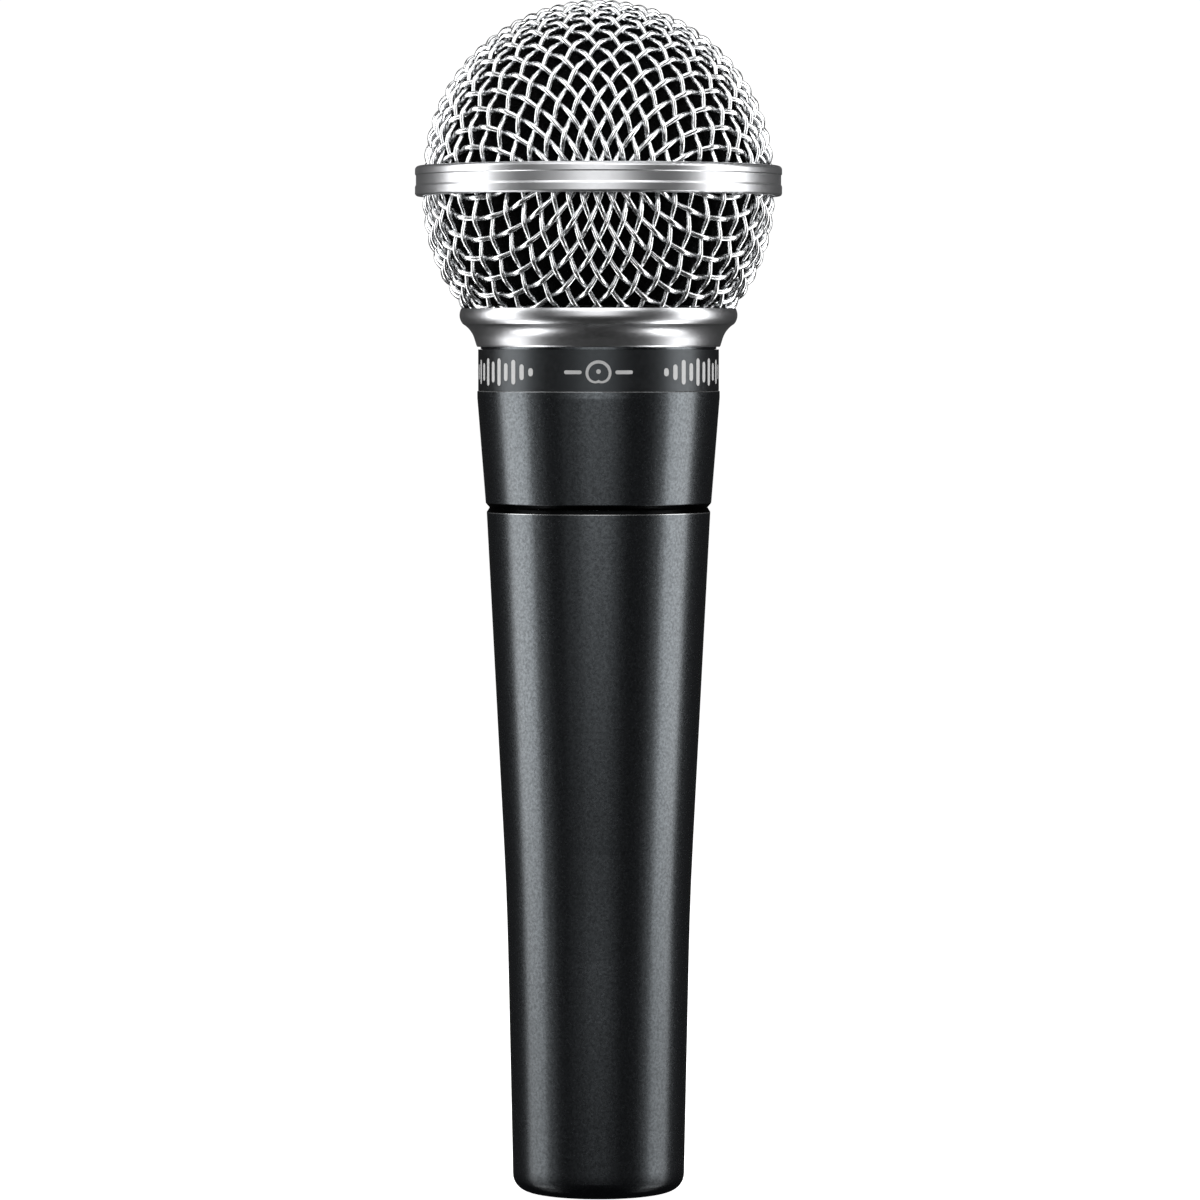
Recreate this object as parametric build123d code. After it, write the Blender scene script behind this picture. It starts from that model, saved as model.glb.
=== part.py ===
from build123d import *
import os
from math import asin, cos, radians, sin, sqrt

# A handheld dynamic vocal microphone, standing upright on its connector end.
# Millimetres. The axis of the microphone is Z, the butt is at z = 0 and the front faces -Y.

# ---- driving dimensions ----
LENGTH = 162.0

# ball grille: an upper half ball and a lower bowl, joined by a ring
UPPER_NET_R = 23.8
UPPER_NET_Z = LENGTH - UPPER_NET_R
LOWER_NET_R = 23.9
LOWER_NET_Z = 135.3
NET_THICKNESS = 0.6
RING_R = 24.9
RING_BOTTOM = 135.4
RING_TOP = 139.5
RING_WAIST = 0.13
RING_INNER_R = 23.94

# coved collar under the ball
COLLAR_BOTTOM = 115.0
COLLAR_TOP = 120.2
COLLAR_R = 18.87
COLLAR_NECK_R = 16.58
RIM_SEAT_Z = 118.6

# upper handle, from the V groove where the handle parts up to the threaded neck
PARTING_Z = 93.2
PARTING_GAP = 0.04
GROOVE_R = 14.83
UPPER_GROOVE_HEIGHT = 0.64
LOWER_GROOVE_HEIGHT = 0.6
UPPER_HANDLE_LOW_R = 15.33
UPPER_HANDLE_TOP_R = 16.47
BAND_BOTTOM = 109.05
BAND_TOP = 114.7
BAND_SEAT_R = 15.8
BAND_R = 16.35
NECK_FLANGE_R = 16.0
NECK_TOP = 119.0
NECK_BORE_R = 12.9
HEAD_BORE_R = 11.6
MOUNT_LEDGE_Z = 110.0

# the two threads, drawn as rings whose crests just clear each other
NECK_THREAD_ROOT_R = 15.35
NECK_THREAD_CREST_R = 15.65
COLLAR_THREAD_ROOT_R = 15.98
COLLAR_THREAD_CREST_R = 15.75
SPIGOT_ROOT_R = 12.7
SPIGOT_CREST_R = 13.0
SPIGOT_BOTTOM = 84.5
SOCKET_CREST_R = 13.1
SOCKET_ROOT_R = 13.35
THREAD_PITCH = 1.0

# lower handle: two tapers that meet in a large soft curve
LOWER_HANDLE_TOP_R = 15.2
TAPER_CHANGE_Z = 39.5
TAPER_CHANGE_R = 12.47
TAPER_BLEND_R = 480.0
BUTT_R = 11.64
BUTT_ROUND = 2.3
CAVITY_LOW_Z = 25.0
CAVITY_LOW_R = 9.7
CAVITY_TOP_Z = 82.0
CAVITY_TOP_R = 12.2

# three-pin connector socket in the butt
MOUTH_R = 8.25
MOUTH_DEPTH = 2.5
SOCKET_R = 8.1
INSERT_FACE_Z = 13.8
INSERT_DISH = 0.5
INSERT_TOP_Z = 23.0
LEDGE_R = 7.0
PIN_R = 1.2
PIN_TIP_Z = 2.8
PIN_TOP_Z = 26.5
PIN_SHOULDER_R = 1.5
PIN_SHOULDER_TOP_Z = 21.0
PIN_CIRCLE_R = 3.8
PIN_ANGLES = {1: 180.0, 2: 0.0, 3: 270.0}
KEYWAY_WIDTH = 3.2
KEYWAY_DEPTH = 0.9
KEYWAY_LENGTH = 5.0
SCREW_Z = 18.4
SCREW_R = 1.2

# cartridge
CHAMBER_R = 10.6
CHAMBER_WALL = 0.8
CHAMBER_BOTTOM = 96.8
FRAME_BOTTOM = 119.25
FRAME_R = 12.3
FRAME_BORE_R = 10.85
FRAME_TOP = 136.0
MAGNET_SYSTEM_TOP = 132.5
YOKE_BOTTOM = 121.05
YOKE_TOP = 130.0
MAGNET_R = 5.6
POLE_R = 6.0
GAP_OUTER_R = 7.3
CAP_TOP = 141.8
CAP_WALL = 0.35

# transformer in the lower handle
CORE_BOTTOM = 34.0
CORE_TOP = 50.0
CORE_WIDTH = 16.0
CORE_DEPTH = 8.0
LEG_WIDTH = 4.8
WINDOW_WIDTH = 3.2

# foam liner inside the ball
FOAM_R = 22.3
FOAM_INNER_R = 19.3
FOAM_BOTTOM = 120.6
FOAM_HOLE_R = 13.2

FIT = 0.02  # gap left between pieces that sit together

UP = (Align.CENTER, Align.CENTER, Align.MIN)
os.makedirs("parts", exist_ok=True)


# ---- helpers ----
def save(name, shape):
    export_step(shape, f"parts/{name}.step")


def lathe(points, rounds=None):
    """Turn a closed outline of (radius, z) points round the axis; rounds maps a point's index to a radius."""
    radii = [(rounds or {}).get(i, 0) for i in range(len(points))]
    outline = FilletPolyline(*[(r, 0, z) for r, z in points], radius=radii, close=True)
    return revolve(make_face(outline), Axis.Z)


def tube(r_in, r_out, low, high):
    body = Pos(0, 0, low) * Cylinder(r_out, high - low, align=UP)
    if r_in:
        body -= Pos(0, 0, low - 1) * Cylinder(r_in, high - low + 2, align=UP)
    return body


def block(x, y, low, high, at=(0, 0)):
    return Pos(at[0], at[1], low) * Box(x, y, high - low, align=UP)


def around(count, start=0.0):
    return [start + 360.0 * i / count for i in range(count)]


def sphere_point(centre, radius, z):
    return (sqrt(max(radius**2 - (z - centre) ** 2, 0)), 0, z)


def sphere_arc(centre, radius, low, high):
    """The outline of a ball between two heights, as one arc."""
    a, b = (asin(min(max((z - centre) / radius, -1), 1)) for z in (low, high))
    middle = centre + radius * sin((a + b) / 2)
    return ThreePointArc(
        sphere_point(centre, radius, low),
        sphere_point(centre, radius, middle),
        sphere_point(centre, radius, high),
    )


def line(*points):
    return Polyline(*[(r, 0, z) for r, z in points])


def thread_outline(root, crest, low, high):
    """Points of a thread's outline, from low to high, one ridge for each pitch."""
    points = []
    for i in range(int((high - low) / THREAD_PITCH)):
        z = low + i * THREAD_PITCH
        points += [(root, z), (crest, z + 0.35), (crest, z + 0.5), (root, z + 0.85)]
    return points


# ---- ball grille ----
def grille_upper_mesh():
    outer = sphere_arc(UPPER_NET_Z, UPPER_NET_R, UPPER_NET_Z, LENGTH)
    inner_r = UPPER_NET_R - NET_THICKNESS
    inner = sphere_arc(UPPER_NET_Z, inner_r, UPPER_NET_Z, UPPER_NET_Z + inner_r)
    pole = Line(outer @ 1, inner @ 1)
    rim = Line(inner @ 0, outer @ 0)
    return revolve(make_face(Curve() + [outer, pole, inner, rim]), Axis.Z)


def grille_lower_mesh():
    skirt_top = UPPER_NET_Z - 0.3
    inner_r = LOWER_NET_R - NET_THICKNESS
    outer = sphere_arc(LOWER_NET_Z, LOWER_NET_R, RIM_SEAT_Z + FIT, LOWER_NET_Z)
    inner = sphere_arc(LOWER_NET_Z, inner_r, RIM_SEAT_Z + FIT, LOWER_NET_Z)
    edges = [
        outer,
        Line(outer @ 1, (LOWER_NET_R, 0, skirt_top)),
        Line((LOWER_NET_R, 0, skirt_top), (inner_r, 0, skirt_top)),
        Line((inner_r, 0, skirt_top), inner @ 1),
        inner,
        Line(inner @ 0, outer @ 0),
    ]
    return revolve(make_face(Curve() + edges), Axis.Z)


def grille_band():
    """A rolled ring: two rounded lips with a shallow waist between them."""
    waist_r = RING_R - RING_WAIST
    points = [
        (RING_INNER_R, RING_BOTTOM),
        (RING_R, RING_BOTTOM),
        (RING_R, RING_BOTTOM + 1.25),
        (waist_r, RING_BOTTOM + 1.55),
        (waist_r, RING_TOP - 1.3),
        (RING_R, RING_TOP - 1.15),
        (RING_R, RING_TOP),
        (RING_INNER_R, RING_TOP),
    ]
    return lathe(points, {1: 0.4, 2: 0.12, 5: 0.05, 6: 0.55})


def grille_collar():
    """A bead that holds the ball's rim, a deep cove below it, and the thread inside."""
    foot = line(
        (COLLAR_THREAD_ROOT_R, COLLAR_BOTTOM),
        (COLLAR_NECK_R - 0.12, COLLAR_BOTTOM),
        (COLLAR_NECK_R, COLLAR_BOTTOM + 0.2),
        (COLLAR_NECK_R + 0.22, 115.9),
    )
    cove = ThreePointArc(foot @ 1, (17.1, 0, 116.7), (18.42, 0, 118.1))
    bead = ThreePointArc((18.42, 0, 118.1), (COLLAR_R, 0, 119.2), (18.64, 0, COLLAR_TOP))
    pocket_r = LOWER_NET_R + FIT
    pocket = sphere_arc(LOWER_NET_Z, pocket_r, RIM_SEAT_Z, COLLAR_TOP)
    rim_seat = Line(sphere_point(LOWER_NET_Z, pocket_r, RIM_SEAT_Z), (COLLAR_THREAD_CREST_R, 0, RIM_SEAT_Z))
    ridges = thread_outline(COLLAR_THREAD_ROOT_R, COLLAR_THREAD_CREST_R, 115.2, 118.2)
    thread = line((COLLAR_THREAD_CREST_R, RIM_SEAT_Z), (COLLAR_THREAD_CREST_R, 118.3), *ridges[::-1])
    edges = [
        foot,
        cove,
        bead,
        Line(bead @ 1, pocket @ 1),
        pocket,
        rim_seat,
        thread,
        Line(thread @ 1, foot @ 0),
    ]
    return revolve(make_face(Curve() + edges), Axis.Z)


def foam_liner():
    """A foam ball, open below so that it slides over the cartridge."""
    outer = sphere_arc(UPPER_NET_Z, FOAM_R, UPPER_NET_Z, UPPER_NET_Z + FOAM_R)
    inner = sphere_arc(UPPER_NET_Z, FOAM_INNER_R, UPPER_NET_Z, UPPER_NET_Z + FOAM_INNER_R)
    low_outer = sphere_arc(LOWER_NET_Z, FOAM_R, FOAM_BOTTOM, LOWER_NET_Z)
    hole_meets = LOWER_NET_Z - sqrt(FOAM_INNER_R**2 - FOAM_HOLE_R**2)
    low_inner = sphere_arc(LOWER_NET_Z, FOAM_INNER_R, hole_meets, LOWER_NET_Z)
    edges = [
        low_outer,
        Line(low_outer @ 1, outer @ 0),
        outer,
        Line(outer @ 1, inner @ 1),
        inner,
        Line(inner @ 0, low_inner @ 1),
        low_inner,
        line((FOAM_HOLE_R, hole_meets), (FOAM_HOLE_R, FOAM_BOTTOM)),
        Line((FOAM_HOLE_R, 0, FOAM_BOTTOM), low_outer @ 0),
    ]
    return revolve(make_face(Curve() + edges), Axis.Z)


# ---- handle ----
def upper_handle():
    """Painted housing: thread below, taper, seat for the band, and the threaded neck."""
    spigot = thread_outline(SPIGOT_ROOT_R, SPIGOT_CREST_R, SPIGOT_BOTTOM + 0.6, 91.6)
    neck = thread_outline(NECK_THREAD_ROOT_R, NECK_THREAD_CREST_R, 115.2, 118.3)
    points = [
        (HEAD_BORE_R, SPIGOT_BOTTOM),
        (SPIGOT_ROOT_R, SPIGOT_BOTTOM),
        *spigot,
        (SPIGOT_ROOT_R, PARTING_Z + PARTING_GAP),
        (GROOVE_R, PARTING_Z + PARTING_GAP),
        (UPPER_HANDLE_LOW_R, PARTING_Z + UPPER_GROOVE_HEIGHT),
        (UPPER_HANDLE_TOP_R, BAND_BOTTOM - 0.9),
        (UPPER_HANDLE_TOP_R, BAND_BOTTOM),
        (BAND_SEAT_R, BAND_BOTTOM),
        (BAND_SEAT_R, BAND_TOP),
        (NECK_FLANGE_R, BAND_TOP),
        (NECK_FLANGE_R, COLLAR_BOTTOM),
        (NECK_THREAD_ROOT_R, COLLAR_BOTTOM),
        *neck,
        (NECK_THREAD_ROOT_R, NECK_TOP),
        (NECK_BORE_R, NECK_TOP),
        (NECK_BORE_R, MOUNT_LEDGE_Z),
        (HEAD_BORE_R, MOUNT_LEDGE_Z),
    ]
    groove = 3 + len(spigot)
    return lathe(points, {groove: 0.05, groove + 1: 0.3, groove + 2: 3.0, groove + 3: 0.12})


def identification_band():
    """A strip wrapped round its seat, with its seam at the back."""
    band = tube(BAND_SEAT_R + FIT, BAND_R, BAND_BOTTOM + 0.04, BAND_TOP - 0.04)
    return band - block(0.25, 4, BAND_BOTTOM - 1, BAND_TOP + 1, at=(0, BAND_R - 0.5))


def lower_handle():
    """Tapered grip, thicker round the connector, hollow for the transformer."""
    socket_thread = thread_outline(SOCKET_ROOT_R, SOCKET_CREST_R, 84.3, 91.4)
    outline = [
        (MOUTH_R + 0.3, 0),
        (BUTT_R, 0),
        (TAPER_CHANGE_R, TAPER_CHANGE_Z),
        (LOWER_HANDLE_TOP_R, PARTING_Z - LOWER_GROOVE_HEIGHT),
        (GROOVE_R, PARTING_Z),
        (SOCKET_CREST_R + 0.25, PARTING_Z),
        (SOCKET_CREST_R, PARTING_Z - 0.25),
        *socket_thread[::-1],
        (SOCKET_ROOT_R, SPIGOT_BOTTOM - 0.5),
        (CAVITY_TOP_R, SPIGOT_BOTTOM - 0.5),
        (CAVITY_TOP_R, CAVITY_TOP_Z),
        (CAVITY_LOW_R, CAVITY_LOW_Z),
        (LEDGE_R, CAVITY_LOW_Z),
        (LEDGE_R, INSERT_TOP_Z + FIT),
        (SOCKET_R, INSERT_TOP_Z + FIT),
        (SOCKET_R, MOUTH_DEPTH),
        (MOUTH_R, MOUTH_DEPTH),
        (MOUTH_R, 0.3),
    ]
    body = lathe(outline, {1: BUTT_ROUND, 2: TAPER_BLEND_R, 3: 0.15, 4: 0.05})
    keyway_y = SOCKET_R + KEYWAY_DEPTH
    body -= block(KEYWAY_WIDTH, keyway_y, -1, KEYWAY_LENGTH, at=(0, keyway_y / 2))
    return body - Pos(0, SOCKET_R + 2, SCREW_Z) * Rot(90, 0, 0) * Cylinder(SCREW_R + 0.05, 8)


# ---- connector ----
def pin_place(number):
    angle = radians(PIN_ANGLES[number])
    return PIN_CIRCLE_R * cos(angle), PIN_CIRCLE_R * sin(angle)


def xlr_insert():
    """Moulded disc with a shallow dished face, a hole for each pin and a dimple for the set screw."""
    body = tube(0, SOCKET_R - FIT, INSERT_FACE_Z, INSERT_TOP_Z)
    body = chamfer(body.edges().group_by(Axis.Z)[0], 0.4)
    body -= tube(0, 6.3, INSERT_FACE_Z - 1, INSERT_FACE_Z + INSERT_DISH)
    for number in PIN_ANGLES:
        body -= Pos(*pin_place(number), 0) * tube(0, PIN_R + 0.01, INSERT_FACE_Z, INSERT_TOP_Z + 1)
        body -= Pos(*pin_place(number), 0) * tube(0, PIN_SHOULDER_R + 0.01, INSERT_FACE_Z, PIN_SHOULDER_TOP_Z + 0.01)
    return body - Pos(0, SOCKET_R, SCREW_Z) * Rot(90, 0, 0) * Cylinder(SCREW_R + 0.05, 2.4)


def xlr_pin(number):
    """Round contact: a rounded tip, a shoulder held in the insert and a solder cup at its inner end."""
    pin = tube(0, PIN_R, PIN_TIP_Z, PIN_TOP_Z)
    pin = fillet(pin.edges().group_by(Axis.Z)[0], 0.8)
    pin += tube(0, PIN_SHOULDER_R, INSERT_FACE_Z + INSERT_DISH, PIN_SHOULDER_TOP_Z)
    pin -= tube(0, 0.75, PIN_TOP_Z - 2.2, PIN_TOP_Z + 1)
    pin -= block(3, 1.5, PIN_TOP_Z - 1.8, PIN_TOP_Z + 1, at=(0, -1.0))
    x, y = pin_place(number)
    return Pos(x, y, 0) * pin


def ground_spring():
    """Bent strip that joins the connector's ground to the metal handle."""
    foot = block(1.8, 1.4, INSERT_TOP_Z + FIT, INSERT_TOP_Z + 0.32, at=(-6.03, 0))
    leg = block(0.3, 1.4, INSERT_TOP_Z + FIT, CAVITY_LOW_Z - 0.2, at=(-6.78, 0))
    return foot + leg


def connector_set_screw():
    """Grub screw with a cone point and a hexagon socket, seen in a hole at the back."""
    length = 4.0
    screw = Cylinder(SCREW_R, length, align=UP)
    screw = chamfer(screw.edges().group_by(Axis.Z)[0], 0.5)
    hexagon = extrude(Plane.XY.offset(length - 1.2) * RegularPolygon(0.7, 6), 2)
    return Pos(0, 7.1, SCREW_Z) * Rot(-90, 0, 0) * (screw - hexagon)


def output_leads():
    """Three short wires from the solder cups up to the transformer."""
    wires = []
    for number in PIN_ANGLES:
        x, y = pin_place(number)
        wires.append(Pos(x, y, PIN_TOP_Z + FIT) * Cylinder(0.55, CORE_BOTTOM - PIN_TOP_Z - 2 * FIT, align=UP))
    return Compound(children=wires)


# ---- transformer ----
def transformer_core():
    core = block(CORE_WIDTH, CORE_DEPTH, CORE_BOTTOM, CORE_TOP)
    window_x = (LEG_WIDTH + WINDOW_WIDTH) / 2
    for side in (-1, 1):
        core -= block(WINDOW_WIDTH, CORE_DEPTH + 2, CORE_BOTTOM + 2.5, CORE_TOP - 2.5, at=(side * window_x, 0))
    return core


def coil_box(x, y, low, high):
    """A block round the core's middle leg, with the leg's space cut out of it."""
    gap = 0.1
    return block(x, y, low, high) - block(LEG_WIDTH + gap, CORE_DEPTH + gap, low - 1, high + 1)


def transformer_bobbin():
    low, high, flange = CORE_BOTTOM + 2.6, CORE_TOP - 2.6, 0.8
    bobbin = coil_box(6.1, 9.3, low, high)
    bobbin += coil_box(11.0, 14.4, low, low + flange)
    return bobbin + coil_box(11.0, 14.4, high - flange, high)


def transformer_winding():
    low, high = CORE_BOTTOM + 3.45, CORE_TOP - 3.45
    winding = block(10.5, 13.8, low, high)
    winding = fillet(winding.edges().filter_by(Axis.Z), 1.6)
    return winding - block(6.15, 9.35, low - 1, high + 1)


def transformer_terminal_board():
    board = block(9.0, 5.0, CORE_TOP + FIT, CORE_TOP + 1.2)
    for x in (-3.2, 3.2):
        board += Pos(x, 0, CORE_TOP + 1.2) * Cylinder(0.5, 2.2, align=UP)
    return board


def transformer_glue():
    """Adhesive collar that holds the transformer in the handle."""
    low, high = 41.0, 44.5
    slope = (CAVITY_TOP_R - CAVITY_LOW_R) / (CAVITY_TOP_Z - CAVITY_LOW_Z)
    radii = [CAVITY_LOW_R + slope * (z - CAVITY_LOW_Z) - FIT for z in (low, high)]
    glue = Pos(0, 0, low) * Cone(radii[0], radii[1], high - low, align=UP)
    glue -= block(CORE_WIDTH + FIT, CORE_DEPTH + FIT, low - 1, high + 1)
    return glue - block(11.1, 14.5, low - 1, high + 1)


def cartridge_leads():
    """Two insulated wires from the transformer's board up to the cartridge's grommet."""
    wires = []
    for side in (-1, 1):
        path = FilletPolyline(
            (side * 1.6, 0, CORE_TOP + 1.3),
            (side * 1.6, 0, 58),
            (side * 4.6, side * 1.5, 65),
            (side * 4.6, -side * 1.5, 78),
            (side * 0.8, 0, 86),
            (side * 0.8, 0, CHAMBER_BOTTOM - 1.85),
            radius=[6.0, 9.0, 9.0, 7.0],
        )
        section = Plane(origin=path @ 0, z_dir=path % 0) * Circle(0.55)
        wires.append(sweep(section, path=path))
    return Compound(children=wires)


# ---- cartridge mounting ----
def shock_mount():
    """Rubber bellows: a foot clamped in the neck, a thin wall, and a lip under the cartridge."""
    points = [
        (CHAMBER_R + FIT, MOUNT_LEDGE_Z + FIT),
        (NECK_BORE_R - FIT, MOUNT_LEDGE_Z + FIT),
        (NECK_BORE_R - FIT, 112.0),
        (11.4, 112.0),
        (11.4, 117.0),
        (FRAME_R, 117.4),
        (FRAME_R, FRAME_BOTTOM - FIT),
        (CHAMBER_R + FIT, FRAME_BOTTOM - FIT),
    ]
    return lathe(points, {4: 0.5, 5: 0.3})


def shock_mount_ring():
    ring = tube(11.55, NECK_BORE_R - FIT, 112.0 + FIT, 113.5)
    for angle in around(2):
        ring -= Rot(0, 0, angle) * block(1.6, 2.6, 112.9, 115, at=(0, 12.6))
    return ring


# ---- cartridge ----
def rear_chamber():
    chamber = tube(0, CHAMBER_R, CHAMBER_BOTTOM, FRAME_BOTTOM)
    chamber = fillet(chamber.edges().group_by(Axis.Z)[0], 1.2)
    chamber -= tube(0, CHAMBER_R - CHAMBER_WALL, CHAMBER_BOTTOM + 1.2, FRAME_BOTTOM + 1)
    return chamber - tube(0, 2.6, CHAMBER_BOTTOM - 1, CHAMBER_BOTTOM + 2)


def lead_grommet():
    """Rubber ring with a groove that grips the chamber's floor."""
    floor = CHAMBER_BOTTOM
    points = [
        (1.5, floor - 1.8),
        (3.4, floor - 1.8),
        (3.4, floor - FIT),
        (2.6 - FIT, floor - FIT),
        (2.6 - FIT, floor + 1.2 + FIT),
        (3.4, floor + 1.2 + FIT),
        (3.4, floor + 2.2),
        (1.5, floor + 2.2),
    ]
    return lathe(points, {1: 0.5, 6: 0.4})


def pigtail_leads():
    wires = []
    for side in (-1, 1):
        path = FilletPolyline(
            (side * 0.75, 0, CHAMBER_BOTTOM - 1.0),
            (side * 0.75, 0, 102),
            (side * 6.0, 0, 109),
            (side * 6.0, 0, 115.3),
            radius=[6.0, 6.0],
        )
        section = Plane(origin=path @ 0, z_dir=path % 0) * Circle(0.5)
        wires.append(sweep(section, path=path))
    return Compound(children=wires)


def terminal_board():
    board = tube(4.2, 9.7, 117.9, FRAME_BOTTOM - FIT)
    for side in (-1, 1):
        board -= Pos(side * 6.0, 0, 117) * Cylinder(0.62, 5, align=UP)
    return board


def cartridge_terminals():
    lugs = []
    for side in (-1, 1):
        lug = Pos(side * 6.0, 0, 115.35) * Cylinder(0.6, 3.7, align=UP)
        lugs.append(lug + Pos(side * 6.0, 0, 117.2) * Cylinder(1.3, 0.65, align=UP))
    return Compound(children=lugs)


def cartridge_base_plate():
    return tube(4.0, FRAME_BORE_R - FIT, FRAME_BOTTOM, YOKE_BOTTOM - FIT)


def rear_felt():
    return tube(0, 4.0 - FIT, FRAME_BOTTOM + 0.05, YOKE_BOTTOM - 0.05)


def cartridge_frame():
    """Moulded sleeve round the magnet, with a ring of ports behind the diaphragm."""
    points = [
        (FRAME_BORE_R, FRAME_BOTTOM),
        (FRAME_R, FRAME_BOTTOM),
        (FRAME_R, 123.0),
        (FRAME_R - 0.35, 123.2),
        (FRAME_R - 0.35, 124.0),
        (FRAME_R, 124.2),
        (FRAME_R, FRAME_TOP),
        (10.4, FRAME_TOP),
        (10.4, FRAME_TOP - 0.8),
        (11.2, FRAME_TOP - 0.8),
        (11.2, MAGNET_SYSTEM_TOP + 0.1),
        (FRAME_BORE_R, MAGNET_SYSTEM_TOP + 0.1),
    ]
    frame = lathe(points, {1: 0.4})
    for angle in around(10):
        frame -= Rot(0, 0, angle) * block(4.6, 4, 133.0, 135.0, at=(0, FRAME_R))
    return frame


def rear_port_screen():
    return tube(11.0, 11.2 - FIT, MAGNET_SYSTEM_TOP + 0.12, FRAME_TOP - 0.82)


def yoke_cup():
    cup = tube(2.0, FRAME_BORE_R - FIT, YOKE_BOTTOM, YOKE_TOP)
    return cup - tube(0, 9.4, YOKE_BOTTOM + 2.0, YOKE_TOP + 1)


def magnet():
    return tube(2.0, MAGNET_R, YOKE_BOTTOM + 2.0, YOKE_TOP)


def pole_piece():
    pole = tube(2.0, POLE_R, YOKE_TOP, MAGNET_SYSTEM_TOP)
    return chamfer(pole.edges().group_by(Axis.Z)[-1], 0.25)


def top_plate():
    return tube(GAP_OUTER_R, FRAME_BORE_R - FIT, YOKE_TOP, MAGNET_SYSTEM_TOP)


def voice_coil():
    """Copper winding on a thin former that carries the diaphragm."""
    points = [
        (6.42, 129.4),
        (6.9, 129.4),
        (6.9, 133.6),
        (6.6, 133.6),
        (6.6, FRAME_TOP - FIT),
        (6.42, FRAME_TOP - FIT),
    ]
    return lathe(points)


def diaphragm():
    """Thin dome over the coil with a half-roll surround and a flat rim."""
    low, high, rise, dome_r = FRAME_TOP, FRAME_TOP + 0.2, 1.9, 6.4
    ball_r = (dome_r**2 + rise**2) / (2 * rise)
    centre = high + rise - ball_r
    outer = sphere_arc(centre, ball_r, high, high + rise)
    inner = sphere_arc(centre, ball_r - 0.2, low, high + rise - 0.2)
    roll_top = ThreePointArc((10.35, 0, high), (8.65, 0, high + 0.8), (6.95, 0, high))
    roll_under = ThreePointArc((7.15, 0, low), (8.65, 0, high + 0.6), (10.15, 0, low))
    edges = [
        inner,
        Line(inner @ 1, outer @ 1),
        outer,
        Line(outer @ 0, roll_top @ 1),
        roll_top,
        line((10.35, high), (11.2, high), (11.2, low), (10.15, low)),
        roll_under,
        Line(roll_under @ 0, inner @ 0),
    ]
    return revolve(make_face(Curve() + edges), Axis.Z)


def diaphragm_ring():
    return tube(10.6, FRAME_R - CAP_WALL - FIT, FRAME_TOP + 0.22, FRAME_TOP + 1.2)


def cartridge_cap():
    """Slotted cap over the diaphragm."""
    cap = tube(0, FRAME_R, FRAME_TOP + FIT, CAP_TOP)
    cap = fillet(cap.edges().group_by(Axis.Z)[-1], 1.5)
    cap -= tube(0, FRAME_R - CAP_WALL, FRAME_TOP - 1, CAP_TOP - 1.3)
    cap -= Cylinder(1.5, 2 * CAP_TOP + 4)
    slot = extrude(Plane.XY.offset(CAP_TOP - 3) * SlotOverall(5.6, 1.5), 6)
    for angle in around(10):
        cap -= Rot(0, 0, angle) * Pos(6.1, 0, 0) * slot
    return cap


def cap_screen():
    return tube(0, FRAME_R - CAP_WALL - FIT, CAP_TOP - 1.6, CAP_TOP - 1.3 - FIT)


for make in (
    grille_upper_mesh,
    grille_lower_mesh,
    grille_band,
    grille_collar,
    foam_liner,
    upper_handle,
    identification_band,
    lower_handle,
    xlr_insert,
    ground_spring,
    connector_set_screw,
    output_leads,
    transformer_core,
    transformer_bobbin,
    transformer_winding,
    transformer_terminal_board,
    transformer_glue,
    cartridge_leads,
    shock_mount,
    shock_mount_ring,
    rear_chamber,
    lead_grommet,
    pigtail_leads,
    terminal_board,
    cartridge_terminals,
    cartridge_base_plate,
    rear_felt,
    cartridge_frame,
    rear_port_screen,
    yoke_cup,
    magnet,
    pole_piece,
    top_plate,
    voice_coil,
    diaphragm,
    diaphragm_ring,
    cartridge_cap,
    cap_screen,
):
    save(make.__name__, make())

for pin_number in PIN_ANGLES:
    save(f"xlr_pin_{pin_number}", xlr_pin(pin_number))
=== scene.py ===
"""The looks of a handheld dynamic microphone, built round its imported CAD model.

Metres, +Z up, front at -Y."""

import math

import bpy
import numpy as np
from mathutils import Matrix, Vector


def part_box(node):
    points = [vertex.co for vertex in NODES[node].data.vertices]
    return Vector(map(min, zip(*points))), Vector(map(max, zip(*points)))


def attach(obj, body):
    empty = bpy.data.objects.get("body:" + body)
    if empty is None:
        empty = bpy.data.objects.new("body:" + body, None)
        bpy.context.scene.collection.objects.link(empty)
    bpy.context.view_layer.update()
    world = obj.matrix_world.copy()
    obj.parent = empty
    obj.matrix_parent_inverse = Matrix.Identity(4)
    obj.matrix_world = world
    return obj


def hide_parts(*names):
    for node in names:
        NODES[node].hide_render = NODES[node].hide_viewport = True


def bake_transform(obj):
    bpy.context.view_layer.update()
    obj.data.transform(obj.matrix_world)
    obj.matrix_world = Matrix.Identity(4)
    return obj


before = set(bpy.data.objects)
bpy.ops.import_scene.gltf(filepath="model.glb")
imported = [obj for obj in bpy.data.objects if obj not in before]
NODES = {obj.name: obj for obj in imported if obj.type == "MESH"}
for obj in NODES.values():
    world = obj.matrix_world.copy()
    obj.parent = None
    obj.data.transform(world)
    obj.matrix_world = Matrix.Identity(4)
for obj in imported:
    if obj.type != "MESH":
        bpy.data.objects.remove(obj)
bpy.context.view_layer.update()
MM = 0.001

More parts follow.
